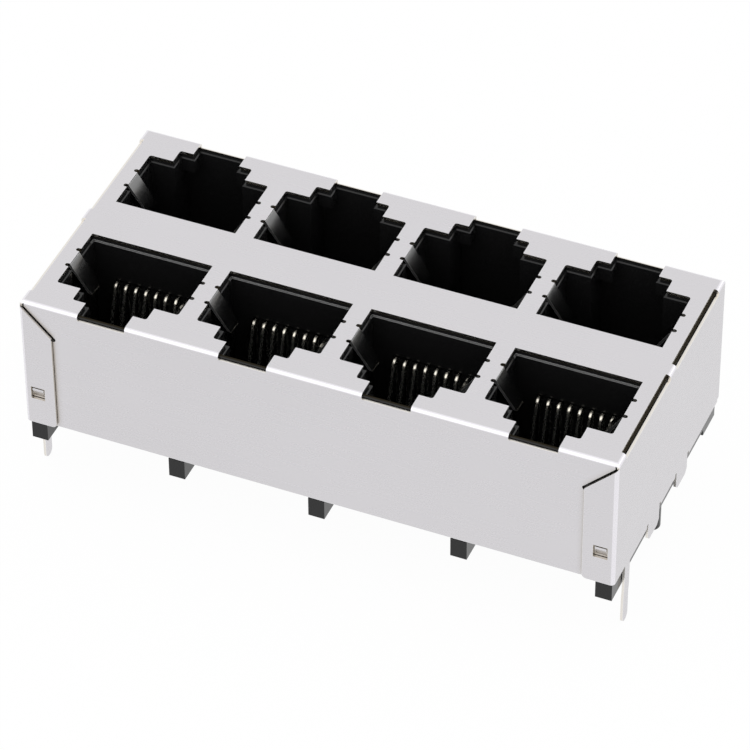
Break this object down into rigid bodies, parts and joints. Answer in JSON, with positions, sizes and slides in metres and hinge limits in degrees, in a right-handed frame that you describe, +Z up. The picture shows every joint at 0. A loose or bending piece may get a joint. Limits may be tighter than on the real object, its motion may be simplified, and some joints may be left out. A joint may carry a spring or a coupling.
{
  "type": "rj45 board jack",
  "caption": "Shielded modular jack block for a circuit board, with two rows of upward-facing ports in one folded metal shield over a black moulded housing.",
  "frame": {"origin": "middle of the board plane, on which the feet of the housing stand", "axes": "+Z points up out of the ports, +X runs along the rows of ports to the right, and -Y is the front row's side, where the ground legs are"},
  "size_m": [0.0582, 0.028, 0.0215],
  "materials": {
    "shield": "smooth bright tin-plated sheet, satin",
    "housing": "moulded black glass-filled plastic, fine matte",
    "carrier": "moulded black plastic, fine matte",
    "contact": "gold-plated spring wire, polished"
  },
  "bodies": {
    "root": {"shield": "shield", "housing": "housing", "carrier_front_1": "carrier", "carrier_front_2": "carrier", "carrier_front_3": "carrier", "carrier_front_4": "carrier", "carrier_back_1": "carrier", "carrier_back_2": "carrier", "carrier_back_3": "carrier", "carrier_back_4": "carrier", "contacts_front_1_odd": "contact", "contacts_front_1_even": "contact", "contacts_front_2_odd": "contact", "contacts_front_2_even": "contact", "contacts_front_3_odd": "contact", "contacts_front_3_even": "contact", "contacts_front_4_odd": "contact", "contacts_front_4_even": "contact", "contacts_back_1_odd": "contact", "contacts_back_1_even": "contact", "contacts_back_2_odd": "contact", "contacts_back_2_even": "contact", "contacts_back_3_odd": "contact", "contacts_back_3_even": "contact", "contacts_back_4_odd": "contact", "contacts_back_4_even": "contact"}
  },
  "joints": []
}
